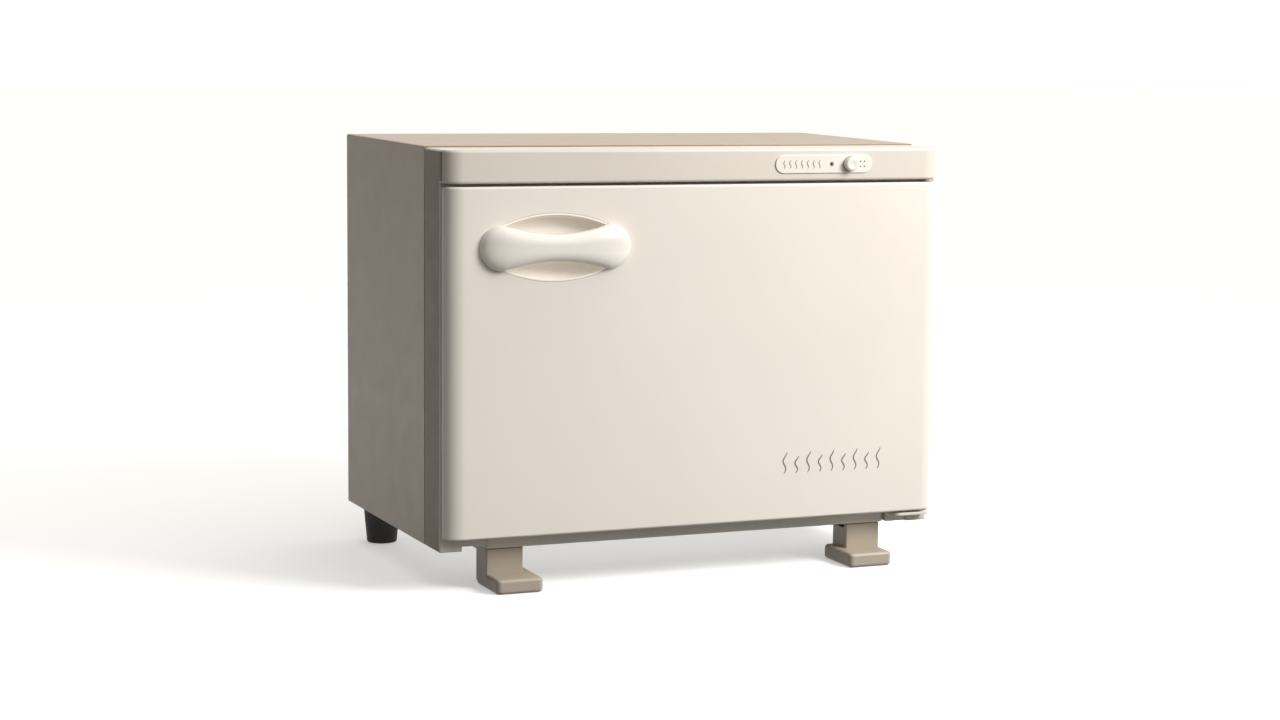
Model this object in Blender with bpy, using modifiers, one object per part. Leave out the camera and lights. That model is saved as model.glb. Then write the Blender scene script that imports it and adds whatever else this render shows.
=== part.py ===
"""Hot towel warming cabinet: a bench-top, insulated, electrically heated box.

A folded steel case and a moulded front frame hold an open-fronted aluminium chamber with two
wire racks.  The door swings on two vertical pins at the right, a drip tray slides out below it,
and a push button in the header switches the heater.

Row frame: metres, +X to the right of somebody facing the door, +Y to the back, +Z up.  The origin
is on the floor, midway between the handle's front and the rear spacers' ends.
"""

import math

import bmesh
import bpy
from mathutils import Matrix, Vector

# Driving dimensions.
WIDTH = 0.450
HEIGHT = 0.366
REACH = 0.152            # from the origin to the handle's front, and to the rear spacers' ends
CASE_BACK = 0.140
CASE_BOTTOM = 0.035
SEAM = -0.086            # where the steel case meets the moulded frame
FRAME_FRONT = -0.126
FRONT = -0.140           # face of the header and of the door
SHEET = 0.001            # steel and aluminium sheet
WALL = 0.0025            # moulded plastic wall
GAP = 0.0003             # between pieces that touch
HALF = WIDTH / 2

# Header and door heights.
HEADER_TOP = HEIGHT - 0.001
HEADER_BOTTOM = 0.3377
DOOR_TOP = 0.3353
DOOR_BOTTOM = 0.0461
DOOR_BACK = FRAME_FRONT - 0.0015
DOOR_HALF = HALF - 0.0015

# Vertical hinge axis, inside the door's thickness and near its right edge.
HINGE_X = 0.217
HINGE_Y = -0.133
PIN_RADIUS = 0.0025
BUSH_RADIUS = 0.0042
BUSH_LENGTH = 0.0132
COLLAR_RADIUS = 0.0044
STILE = 0.205            # the door and the header are solid from here to the right edge

# Opening of the frame, and the chamber behind it.
OPENING_HALF = 0.200
OPENING_Z = (0.060, 0.328)
CHAMBER_HALF = 0.188
CHAMBER_Z = (0.066, 0.322)
CHAMBER_Y = (-0.108, 0.112)
BASE_TOP = 0.047

# Wire racks.
RACK_LEVELS = {"lower": 0.132, "upper": 0.224}
RACK_HALF = 0.184
RACK_Y = (-0.095, 0.098)
RACK_WIRE = 0.0018
RACK_CROSS_WIRES = 11
RAIL_WIDTH = 0.010

# Handle, centred on the upper left of the door.
HANDLE = Vector((-0.130, 0.2853))
GRIP_HALF = 0.0655
GRIP_SHOULDER = 0.046    # where the grip is tallest
GRIP_MID_HEIGHT = 0.0115
GRIP_END_HEIGHT = 0.0187
POCKET_HALF = 0.050
POCKET_HEIGHT = 0.028
POCKET_ARC = 0.116       # radius of the pocket's top and bottom edges
POCKET_DEPTH = 0.016
HANDLE_SCREW_X = 0.0575

# Controls in the header.
PLATE_X = (0.0666, 0.1575)
CONTROL_Z = 0.3517
PLATE_HEIGHT = 0.0154
BUTTON_X = 0.1365
BUTTON_RADIUS = 0.006
BUTTON_TRAVEL = 0.003
LAMP_X = 0.1193

# Drip tray and the moulded front feet that carry it.
TRAY_HALF = 0.1835
TRAY_Y = (-0.1225, -0.064)
TRAY_Z = (0.0346, 0.0452)
BLOCK_INNER = 0.2055     # inner side of the frame's corner blocks
FOOT_OUTER = 0.182
LEG_INNER = 0.150
TOE_INNER = 0.141
LEG_Y = (-0.1195, -0.092)
TOE_FRONT = -0.1462
TOE_HEIGHT = 0.0125
ARM_Z = (0.030, 0.0342)
BOSS_Y = (-0.061, -0.044)
REAR_FOOT = (0.2005, 0.117)
REAR_FOOT_RADII = (0.0133, 0.0175)

SCREW_RADIUS = 0.0015
SCREW_HEAD_RADIUS = 0.0032
SCREW_HEAD = 0.0018
ROUND = 24               # sides of a round piece

X, Y, Z = Vector((1, 0, 0)), Vector((0, 1, 0)), Vector((0, 0, 1))


# ---------------------------------------------------------------- scene and materials

def clear_scene():
    for obj in list(bpy.data.objects):
        bpy.data.objects.remove(obj, do_unlink=True)


def new_collection(name, hidden=False):
    made = bpy.data.collections.new(name)
    bpy.context.scene.collection.children.link(made)
    made.hide_render = hidden
    return made


def material(name, colour, roughness, metallic=0.0):
    made = bpy.data.materials.new(name)
    made.use_nodes = True
    shader = made.node_tree.nodes["Principled BSDF"]
    shader.inputs["Base Color"].default_value = (*colour, 1.0)
    shader.inputs["Roughness"].default_value = roughness
    shader.inputs["Metallic"].default_value = metallic
    return made


clear_scene()
PARTS = new_collection("towel_warmer")
CUTTERS = new_collection("cutters", hidden=True)

WHITE_ABS = material("white_abs", (0.86, 0.82, 0.76), 0.28)
BEIGE_ABS = material("beige_abs", (0.72, 0.68, 0.61), 0.35)
BEIGE_STEEL = material("beige_painted_steel", (0.55, 0.49, 0.41), 0.45)
LABEL = material("label_white", (0.90, 0.87, 0.82), 0.30)
ALUMINIUM = material("aluminium_sheet", (0.80, 0.80, 0.82), 0.30, 1.0)
STEEL = material("zinc_steel", (0.62, 0.62, 0.64), 0.35, 1.0)
CHROME = material("chromed_wire", (0.80, 0.80, 0.82), 0.12, 1.0)
RUBBER = material("black_rubber", (0.03, 0.028, 0.025), 0.70)
GASKET = material("grey_gasket", (0.25, 0.24, 0.22), 0.70)
FOAM = material("insulation", (0.85, 0.80, 0.60), 0.95)
NYLON = material("nylon", (0.88, 0.87, 0.82), 0.40)
BLACK_PLASTIC = material("black_plastic", (0.04, 0.04, 0.04), 0.45)
MICA = material("mica_heater", (0.45, 0.30, 0.18), 0.60)
LENS = material("red_lens", (0.45, 0.06, 0.03), 0.20)


# ---------------------------------------------------------------- shapes

def add_object(name, mesh, surface, group):
    obj = bpy.data.objects.new(name, mesh)
    group.objects.link(obj)
    if surface is not None:
        mesh.materials.append(surface)
    if group is CUTTERS:
        obj.hide_render = True
        obj.display_type = "WIRE"
    return obj


def box(name, x, y, z, surface=None, bevel=0.0, group=None):
    """A block between the pairs x, y and z, placed by its centre."""
    low, high = Vector((x[0], y[0], z[0])), Vector((x[1], y[1], z[1]))
    mesh = bpy.data.meshes.new(name)
    shape = bmesh.new()
    bmesh.ops.create_cube(shape, size=1.0)
    bmesh.ops.scale(shape, vec=high - low, verts=shape.verts)
    shape.to_mesh(mesh)
    shape.free()
    obj = add_object(name, mesh, surface, group or PARTS)
    obj.location = (low + high) / 2
    if bevel:
        round_edges(obj, bevel)
    return obj


def rod(name, start, end, radius, surface=None, end_radius=None, sides=ROUND, group=None):
    """A round bar, or a cone frustum, from start to end."""
    start, end = Vector(start), Vector(end)
    mesh = bpy.data.meshes.new(name)
    shape = bmesh.new()
    bmesh.ops.create_cone(
        shape, cap_ends=True, segments=sides, depth=(end - start).length,
        radius1=radius, radius2=radius if end_radius is None else end_radius,
    )
    shape.to_mesh(mesh)
    shape.free()
    mesh.shade_smooth()
    mesh.set_sharp_from_angle(angle=math.radians(40))
    obj = add_object(name, mesh, surface, group or PARTS)
    obj.location = (start + end) / 2
    obj.rotation_mode = "QUATERNION"
    obj.rotation_quaternion = (end - start).to_track_quat("Z", "Y")
    return obj


def prism(name, outline, axis, start, end, surface=None, group=None):
    """A flat outline of (u, v) points pushed along axis: (x, z) points along Y, (x, y) along Z."""
    mesh = bpy.data.meshes.new(name)
    shape = bmesh.new()
    if axis == "Y":
        corners = [shape.verts.new((u, start, v)) for u, v in outline]
        push = Vector((0, end - start, 0))
    else:
        corners = [shape.verts.new((u, v, start)) for u, v in outline]
        push = Vector((0, 0, end - start))
    face = shape.faces.new(corners)
    swept = bmesh.ops.extrude_face_region(shape, geom=[face])
    moved = [v for v in swept["geom"] if isinstance(v, bmesh.types.BMVert)]
    bmesh.ops.translate(shape, vec=push, verts=moved)
    bmesh.ops.recalc_face_normals(shape, faces=shape.faces)
    shape.to_mesh(mesh)
    shape.free()
    return add_object(name, mesh, surface, group or PARTS)


def folded_sheet(name, path, y, thickness, surface):
    """An open strip along the (x, z) path, pushed along Y, thickened inwards."""
    mesh = bpy.data.meshes.new(name)
    shape = bmesh.new()
    line = [shape.verts.new((u, y[0], v)) for u, v in path]
    edges = [shape.edges.new(pair) for pair in zip(line, line[1:])]
    swept = bmesh.ops.extrude_edge_only(shape, edges=edges)
    moved = [v for v in swept["geom"] if isinstance(v, bmesh.types.BMVert)]
    bmesh.ops.translate(shape, vec=(0, y[1] - y[0], 0), verts=moved)
    bmesh.ops.recalc_face_normals(shape, faces=shape.faces)
    shape.to_mesh(mesh)
    shape.free()
    obj = add_object(name, mesh, surface, PARTS)
    solid = obj.modifiers.new("Solidify", "SOLIDIFY")
    solid.thickness = thickness
    solid.offset = 0.0
    solid.use_even_offset = True
    return obj


def round_edges(obj, width, segments=2, angle=30):
    bevel = obj.modifiers.new("Bevel", "BEVEL")
    bevel.width = width
    bevel.segments = segments
    bevel.limit_method = "ANGLE"
    bevel.angle_limit = math.radians(angle)
    return obj


def boolean(obj, other, operation):
    """Cuts other from obj or joins it to obj; other becomes a hidden helper."""
    if other.name not in CUTTERS.objects:
        PARTS.objects.unlink(other)
        CUTTERS.objects.link(other)
        other.hide_render = True
        other.display_type = "WIRE"
    modifier = obj.modifiers.new(operation.title(), "BOOLEAN")
    modifier.operation = operation
    modifier.object = other
    return obj


def cut(obj, *cutters):
    for cutter in cutters:
        boolean(obj, cutter, "DIFFERENCE")
    return obj


def join(obj, *others):
    for other in others:
        boolean(obj, other, "UNION")
    return obj


def cutter_box(name, x, y, z):
    return box(name, x, y, z, group=CUTTERS)


def cutter_rod(name, start, end, radius):
    return rod(name, start, end, radius, group=CUTTERS)


def arc(centre, radii, start, end, steps):
    """Points on an ellipse from the start angle to the end angle, in degrees."""
    angles = [math.radians(start + (end - start) * i / steps) for i in range(steps + 1)]
    return [
        (centre[0] + radii[0] * math.cos(a), centre[1] + radii[1] * math.sin(a)) for a in angles
    ]


def axis_empty(name, location):
    """An empty on a joint's axis, which carries the pieces that move with it."""
    empty = bpy.data.objects.new(name, None)
    PARTS.objects.link(empty)
    empty.location = location
    return empty


def carry(empty, *pieces):
    inverse = Matrix.Translation(empty.location).inverted()
    for piece in pieces:
        piece.parent = empty
        piece.matrix_parent_inverse = inverse


def screw(name, head, direction, length):
    """A pan-head screw: head is the centre under the head, direction runs along the shank."""
    head, direction = Vector(head), Vector(direction)
    tip = head + direction * length
    shank = rod(name, head - direction * 0.0002, tip, SCREW_RADIUS, STEEL, sides=12)
    cap = rod(name + "_cap", head - direction * SCREW_HEAD, head, SCREW_HEAD_RADIUS, sides=16)
    return join(shank, cap)


# ---------------------------------------------------------------- case and frame

def make_outer_case():
    """Top and both sides, folded from one sheet with a small bend radius."""
    half, top, bend = HALF - SHEET / 2, HEIGHT - SHEET / 2, 0.0012
    left = arc((-half + bend, top - bend), (bend, bend), 180, 90, 3)
    right = arc((half - bend, top - bend), (bend, bend), 90, 0, 3)
    path = [(-half, CASE_BOTTOM), *left, *right, (half, CASE_BOTTOM)]
    folded_sheet("outer_case", path, (SEAM, CASE_BACK), SHEET, BEIGE_STEEL)


def header_outline():
    """Plan of the header: flat front, elliptical front corners, square at the seam."""
    left = arc((-HALF + 0.016, FRONT + 0.013), (0.016, 0.013), 180, 270, 8)
    right = arc((HALF - 0.016, FRONT + 0.013), (0.016, 0.013), 270, 360, 8)
    return [(-HALF, SEAM - GAP), *left, *right, (HALF, SEAM - GAP)]


def cut_control_holes(obj, name):
    """Clearance holes for the button and the lamp."""
    for part, x, radius in (("button", BUTTON_X, BUTTON_RADIUS + 0.0005), ("lamp", LAMP_X, 0.0018)):
        cut(obj, cutter_rod(f"{name}_{part}_hole", (x, -0.2, CONTROL_Z), (x, -0.13, CONTROL_Z), radius))


def make_front_frame():
    """Moulded ring round the door opening with the header above it, hollow from behind."""
    back = SEAM - GAP
    levels = (CASE_BOTTOM - 0.0005, 0.350)
    frame = box("front_frame", (-HALF, HALF), (FRAME_FRONT, back), levels, BEIGE_ABS)
    round_edges(frame, 0.0015)
    header = prism("header_block", header_outline(), "Z", HEADER_BOTTOM, HEADER_TOP)
    round_edges(header, 0.0018)
    join(frame, header)

    ring = cutter_box(
        "frame_hollow", (-HALF + WALL, HALF - WALL), (FRAME_FRONT + WALL, 0),
        (0.0372, HEADER_BOTTOM - 0.0002))
    cut(ring, cutter_box(
        "frame_hollow_core", (-OPENING_HALF - WALL, OPENING_HALF + WALL), (-0.2, 0.1),
        (OPENING_Z[0] - WALL, OPENING_Z[1] + WALL)))
    cut(frame, ring)
    cut(frame, cutter_box(
        "header_hollow", (-STILE, STILE), (FRONT + WALL, 0), (HEADER_BOTTOM + WALL, HEADER_TOP - WALL)))
    cut(frame, cutter_box("door_opening", (-OPENING_HALF, OPENING_HALF), (-0.2, 0.1), OPENING_Z))
    through = (-0.2, 0.1)
    tray_notch = (-TRAY_HALF - 0.001, TRAY_HALF + 0.001)
    cut(frame, cutter_box("tray_notch", tray_notch, through, (0.0, 0.0459)))
    cut(frame, cutter_box("left_notch", (-BLOCK_INNER, -TRAY_HALF), through, (0.0, 0.0388)))
    cut(frame, cutter_box("bracket_notch", (TRAY_HALF, BLOCK_INNER + GAP), through, (0.0, 0.0447)))

    cut_control_holes(frame, "header")
    cut(frame, cutter_rod(
        "upper_pin_hole", (HINGE_X, HINGE_Y, 0.33), (HINGE_X, HINGE_Y, 0.3535), PIN_RADIUS + 0.0002))
    recess = (-0.2, FRAME_FRONT + 0.0011)
    cut(frame, cutter_box("strike_recess", (-0.2185, -0.2105), recess, (0.169, 0.221)))
    plate = (FRAME_FRONT + 0.0001, FRAME_FRONT + 0.0009)
    box("strike_plate", (-0.218, -0.211), plate, (0.170, 0.220), STEEL)


def make_base_and_rear():
    """Bottom pan, ventilated rear panel with wall spacers, and the mains inlet."""
    inner = HALF - SHEET - GAP
    depth = (SEAM + 0.0005, CASE_BACK - 0.002)
    box("base_pan", (-inner, inner), depth, (BASE_TOP - SHEET, BASE_TOP), STEEL)

    levels = (BASE_TOP + GAP, HEIGHT - SHEET - GAP)
    panel = box("rear_panel", (-inner, inner), (CASE_BACK - 0.0013, CASE_BACK - GAP), levels, BEIGE_STEEL)
    for row in range(5):
        for column in range(2):
            left = -0.150 + column * 0.200
            level = 0.262 + row * 0.013
            width, height = (left, left + 0.100), (level, level + 0.005)
            cut(panel, cutter_box(f"vent_{row}_{column}", width, (0.1, 0.2), height))
    cut(panel, cutter_box("inlet_hole", (0.1365, 0.1635), (0.1, 0.2), (0.0805, 0.1015)))

    rim = (CASE_BACK, CASE_BACK + 0.003)
    inlet = box("power_inlet", (0.130, 0.170), rim, (0.074, 0.108), BLACK_PLASTIC, 0.001)
    shell = (CASE_BACK - 0.019, CASE_BACK + 0.001)
    join(inlet, box("inlet_shell", (0.1368, 0.1632), shell, (0.0808, 0.1012)))
    cut(inlet, cutter_box("inlet_socket", (0.1388, 0.1612), (CASE_BACK - 0.016, 0.2), (0.0828, 0.0992)))

    for side, sign in (("left", -1), ("right", 1)):
        x, z = sign * 0.195, 0.335
        ends = (x, CASE_BACK, z), (x, REACH, z)
        spacer = rod(f"rear_spacer_{side}", *ends, 0.010, RUBBER, end_radius=0.008)
        cut(spacer, cutter_rod(f"spacer_well_{side}", (x, REACH - 0.006, z), (x, 0.2, z), 0.0045))

    half = ((0.216, 0.060), (0.216, 0.300), (0.070, 0.355))
    places = [(sign * x, z) for sign in (-1, 1) for x, z in half]
    hole = SCREW_RADIUS + 0.0002
    for number, (x, z) in enumerate(places, 1):
        cut(panel, cutter_rod(f"rear_screw_hole_{number}", (x, 0.1, z), (x, 0.2, z), hole))
        screw(f"rear_screw_{number}", (x, CASE_BACK, z), (0, -1, 0), 0.006)


# ---------------------------------------------------------------- chamber, heater and racks

def make_chamber():
    """Aluminium box, open at the front, with a flange that fits inside the frame's opening."""
    chamber = box("inner_chamber", (-CHAMBER_HALF, CHAMBER_HALF), CHAMBER_Y, CHAMBER_Z, ALUMINIUM)
    mouth, levels = OPENING_HALF - GAP, (OPENING_Z[0] + GAP, OPENING_Z[1] - GAP)
    flange = (CHAMBER_Y[0] - 0.0002, CHAMBER_Y[0] + SHEET)
    join(chamber, box("chamber_flange", (-mouth, mouth), flange, levels))
    cut(chamber, cutter_box(
        "chamber_space", (-CHAMBER_HALF + SHEET, CHAMBER_HALF - SHEET), (-0.2, CHAMBER_Y[1] - SHEET),
        (CHAMBER_Z[0] + SHEET, CHAMBER_Z[1] - SHEET)))

    wrap, thick = CHAMBER_HALF + 0.0055, 0.009
    top = CHAMBER_Z[1] + 0.0055
    path = [(-wrap, 0.075), (-wrap, top), (wrap, top), (wrap, 0.075)]
    folded_sheet("insulation_wrap", path, (SEAM + 0.006, CHAMBER_Y[1]), thick, FOAM)
    behind = (CHAMBER_Y[1] + 0.001, CHAMBER_Y[1] + 0.011)
    box("insulation_rear", (-0.180, 0.180), behind, (0.120, 0.300), FOAM)

    under = CHAMBER_Z[0] - GAP
    box("heater_plate", (-0.150, 0.150), (-0.075, 0.090), (under - 0.003, under), MICA, 0.0005)
    clamp = (under - 0.0045, under - 0.0033)
    box("heater_clamp", (-0.155, 0.155), (-0.004, 0.016), clamp, STEEL)
    rear = CHAMBER_Y[1] + GAP
    disc = rod("thermostat", (0.060, rear, 0.095), (0.060, rear + 0.012, 0.095), 0.008, BLACK_PLASTIC)
    join(disc, rod("thermostat_cap", (0.060, rear, 0.095), (0.060, rear + 0.004, 0.095), 0.0095))
    rod("thermal_fuse", (0.020, rear + 0.0045, 0.095), (0.044, rear + 0.0045, 0.095), 0.004, NYLON, sides=16)


def make_rack(level_name, level):
    """Welded wire rack on two angle rails; the level is the top of the rails."""
    centre = level + GAP + RACK_WIRE
    half, front, back = RACK_HALF - RACK_WIRE, RACK_Y[0] + RACK_WIRE, RACK_Y[1] - RACK_WIRE
    ends = (-half, front, centre), (half, front, centre)
    rack = rod(f"{level_name}_rack", *ends, RACK_WIRE, CHROME, sides=8)
    ends = (-half, back, centre), (half, back, centre)
    join(rack, rod(f"{level_name}_wire_back", *ends, RACK_WIRE, sides=8))
    for number in range(RACK_CROSS_WIRES):
        x = -half + 2 * half * number / (RACK_CROSS_WIRES - 1)
        x = max(-half + 0.0005, min(half - 0.0005, x))
        radius = RACK_WIRE if number in (0, RACK_CROSS_WIRES - 1) else RACK_WIRE * 0.7
        wire = rod(f"{level_name}_wire_{number}", (x, front, centre), (x, back, centre), radius, sides=8)
        join(rack, wire)
    carry(axis_empty(f"{level_name}_rack_slide", (0, RACK_Y[0], centre)), rack)

    for side, sign in (("left", -1), ("right", 1)):
        wall = sign * (CHAMBER_HALF - SHEET - GAP)
        shelf = tuple(sorted((wall, wall - sign * RAIL_WIDTH)))
        web = tuple(sorted((wall, wall - sign * 0.0012)))
        run = (-0.100, 0.104)
        rail = box(f"{level_name}_rail_{side}", shelf, run, (level - 0.0012, level), STEEL)
        join(rail, box(f"{level_name}_web_{side}", web, run, (level - 0.012, level - 0.0002)))


# ---------------------------------------------------------------- controls

def make_controls():
    """Raised label plate, push button on its switch, and the pilot lamp."""
    half = PLATE_HEIGHT / 2
    ends = (PLATE_X[0] + half, PLATE_X[1] - half)
    left = arc((ends[0], CONTROL_Z), (half, half), 90, 270, 10)
    right = arc((ends[1], CONTROL_Z), (half, half), -90, 90, 10)
    plate = prism("control_plate", left + right, "Y", FRONT - 0.0012, FRONT - 0.0001, LABEL)
    cut_control_holes(plate, "plate")

    def on_button(y):
        return BUTTON_X, y, CONTROL_Z

    nose, heel = FRONT - 0.0068, -0.1255
    button = rod("power_button", on_button(nose), on_button(heel), BUTTON_RADIUS, LABEL)
    round_edges(button, 0.0007, angle=50)
    join(button, rod("button_collar", on_button(FRONT + 0.0029), on_button(FRONT + 0.0045), 0.0078))
    carry(axis_empty("button_slide", on_button(nose)), button)

    ends = (LAMP_X, FRONT - 0.0022, CONTROL_Z), (LAMP_X, -0.130, CONTROL_Z)
    rod("pilot_lamp", *ends, 0.0015, LENS, sides=16)
    depth = (heel + BUTTON_TRAVEL + GAP, -0.100)
    box("power_switch", (0.1265, 0.1465), depth, (0.3422, 0.3612), BLACK_PLASTIC, 0.0008)


# ---------------------------------------------------------------- door

def pocket_outline(grow=0.0):
    """Barrel shape: two shallow arcs above and below, short upright ends."""
    half, height, radius = POCKET_HALF + grow, POCKET_HEIGHT + grow, POCKET_ARC
    sweep = math.degrees(math.asin(half / radius))
    centre = height - radius
    upper = arc((HANDLE.x, HANDLE.y + centre), (radius, radius), 90 - sweep, 90 + sweep, 14)
    lower = arc((HANDLE.x, HANDLE.y - centre), (radius, radius), 270 - sweep, 270 + sweep, 14)
    return upper + lower


def door_outline():
    """Plan of the door skin: broad rounded front corners, tight rear corner round the hinge axis."""
    left, right = -DOOR_HALF, DOOR_HALF
    front_left = arc((left + 0.016, FRONT + 0.0115), (0.016, 0.0115), 180, 270, 8)
    front_right = arc((right - 0.012, HINGE_Y), (0.012, HINGE_Y - FRONT), 270, 360, 8)
    rear_right = arc((HINGE_X, HINGE_Y), (right - HINGE_X, DOOR_BACK - HINGE_Y), 0, 90, 6)
    return [(left, DOOR_BACK), *front_left, *front_right, *rear_right[1:]]


def door_space(clearance):
    """Plan of the hollow inside the skin: it follows the rounded left corner one wall inside it."""
    inset = WALL + clearance
    centre = (-DOOR_HALF + 0.016, FRONT + 0.0115)
    corner = arc(centre, (0.016 - inset, 0.0115 - inset), 180, 270, 8)
    return [(-DOOR_HALF + inset, 0), *corner, (STILE - clearance, FRONT + inset), (STILE - clearance, 0)]


def grip_section(x):
    """Half-height, rear and front of the grip at a distance x from its middle."""
    reach = abs(x)
    if reach <= GRIP_SHOULDER:
        share = reach / GRIP_SHOULDER
        height = GRIP_MID_HEIGHT + (GRIP_END_HEIGHT - GRIP_MID_HEIGHT) * share ** 2
    else:
        share = (reach - GRIP_SHOULDER) / (GRIP_HALF - GRIP_SHOULDER)
        height = GRIP_END_HEIGHT * math.sqrt(max(0.0, 1 - share ** 2))
    bulge = (REACH + FRONT) * max(0.0, 1 - (reach / GRIP_HALF) ** 4) ** 0.5
    rear = FRONT - GAP - 0.003 * max(0.0, 1 - (reach / 0.048) ** 4)
    return height, rear, FRONT - GAP - bulge * (1 - GAP / (REACH + FRONT))


def make_grip():
    """A saddle-shaped bar, tall and seated at its ends, lifted clear of the pocket between."""
    stations, around = 28, 16
    mesh = bpy.data.meshes.new("door_handle")
    shape = bmesh.new()
    rings = []
    for i in range(stations + 1):
        x = -GRIP_HALF * math.cos(math.pi * i / stations) * 0.9985
        height, rear, front = grip_section(x)
        ring = []
        for k in range(around):
            angle = 2 * math.pi * k / around
            side, up = math.cos(angle), math.sin(angle)
            depth = (rear + (front - rear) * side ** 0.8) if side > 0 else rear
            lift = height * math.copysign(abs(up) ** 0.85, up) if side > -1e-6 else height * up
            ring.append(shape.verts.new((HANDLE.x + x, depth, HANDLE.y + lift)))
        rings.append(ring)
    for a, b in zip(rings, rings[1:]):
        for k in range(around):
            shape.faces.new((a[k], a[(k + 1) % around], b[(k + 1) % around], b[k]))
    shape.faces.new(rings[0])
    shape.faces.new(reversed(rings[-1]))
    bmesh.ops.recalc_face_normals(shape, faces=shape.faces)
    shape.to_mesh(mesh)
    shape.free()
    mesh.shade_smooth()
    return add_object("door_handle", mesh, WHITE_ABS, PARTS)


def make_door():
    """Outer skin, inner plug panel, foam, gasket, handle with its pocket, magnet and hinge bushes."""
    skin = prism("door_outer_panel", door_outline(), "Z", DOOR_BOTTOM, DOOR_TOP, WHITE_ABS)
    round_edges(skin, 0.0012, angle=60)
    hollow = (DOOR_BOTTOM + WALL, DOOR_TOP - WALL)
    cut(skin, prism("door_hollow", door_space(0), "Z", *hollow, group=CUTTERS))
    cut(skin, prism("pocket_hole", pocket_outline(GAP), "Y", -0.2, -0.13, group=CUTTERS))

    cup = prism("handle_pocket", pocket_outline(), "Y", FRONT + 0.0001, FRONT + POCKET_DEPTH, WHITE_ABS)
    floor = FRONT + POCKET_DEPTH - 0.0015
    cut(cup, prism("pocket_space", pocket_outline(-0.0015), "Y", -0.2, floor, group=CUTTERS))

    flange = (-DOOR_HALF + WALL + GAP, STILE - GAP)
    levels = (DOOR_BOTTOM + WALL + GAP, DOOR_TOP - WALL - GAP)
    plug_back = -0.112
    inner = box("door_inner_panel", flange, (DOOR_BACK - 0.002, DOOR_BACK), levels, WHITE_ABS)
    plug = box("door_plug", (-0.196, 0.196), (DOOR_BACK - 0.001, plug_back), (0.064, 0.324), bevel=0.003)
    join(inner, plug)
    cut(inner, cutter_box("plug_hollow", (-0.194, 0.194), (-0.2, plug_back - 0.002), (0.066, 0.322)))

    foam = box("door_insulation", (-DOOR_HALF, STILE), (FRONT, DOOR_BACK - 0.0024), levels, FOAM)
    join(foam, box("foam_plug", (-0.1935, 0.1935), (-0.133, plug_back - 0.0024), (0.0665, 0.3215)))
    boolean(foam, prism("foam_space", door_space(GAP), "Z", 0, 0.4, group=CUTTERS), "INTERSECT")
    cut(foam, prism("foam_pocket", pocket_outline(0.001), "Y", -0.2, 0, group=CUTTERS))

    squeezed = (DOOR_BACK + 0.0002, FRAME_FRONT - 0.0002)
    gasket = box("door_gasket", (-0.210, 0.210), squeezed, (0.052, 0.332), GASKET)
    cut(gasket, cutter_box("gasket_space", (-0.1965, 0.1965), (-0.2, 0), (0.0635, 0.3245)))

    magnet_x, magnet_z = (-0.2175, -0.2115), (0.171, 0.219)
    magnet_space = cutter_box("magnet_space", (-0.2178, -0.2112), (-0.1342, 0), (0.1707, 0.2193))
    cut(inner, magnet_space)
    cut(foam, magnet_space)
    box("door_magnet", magnet_x, (-0.134, DOOR_BACK), magnet_z, BLACK_PLASTIC)

    grip = make_grip()
    pieces = [skin, cup, inner, foam, gasket, grip, bpy.data.objects["door_magnet"]]
    for side, sign in (("left", -1), ("right", 1)):
        x = HANDLE.x + sign * HANDLE_SCREW_X
        ends = (x, -0.1445, HANDLE.y), (x, -0.13, HANDLE.y)
        hole = cutter_rod(f"handle_screw_hole_{side}", *ends, SCREW_RADIUS + 0.0002)
        ends = (x, FRONT + WALL + GAP, HANDLE.y), (x, 0, HANDLE.y)
        room = cutter_rod(f"handle_screw_room_{side}", *ends, SCREW_HEAD_RADIUS + 0.0005)
        cut(skin, hole)
        cut(grip, hole)
        cut(foam, room)
        seat = (x, FRONT + WALL + 0.0002, HANDLE.y)
        pieces.append(screw(f"handle_screw_{side}", seat, (0, -1, 0), 0.0065))

    def on_hinge(z):
        return HINGE_X, HINGE_Y, z

    for name, mouth, blind in (("upper", DOOR_TOP, -1), ("lower", DOOR_BOTTOM, 1)):
        end = mouth + blind * BUSH_LENGTH
        outside = mouth - blind * 0.01
        seat = cutter_rod(
            f"{name}_bush_seat", on_hinge(outside), on_hinge(end + blind * 0.0002), BUSH_RADIUS + 0.0002)
        cut(skin, seat)
        bush = rod(f"{name}_hinge_bush", on_hinge(mouth), on_hinge(end), BUSH_RADIUS, NYLON)
        bore = cutter_rod(
            f"{name}_bush_bore", on_hinge(outside), on_hinge(end + blind * 0.01), PIN_RADIUS + 0.0002)
        cut(bush, bore)
        pieces.append(bush)
    carry(axis_empty("door_axis", (HINGE_X, HINGE_Y, 0)), *pieces)


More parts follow.
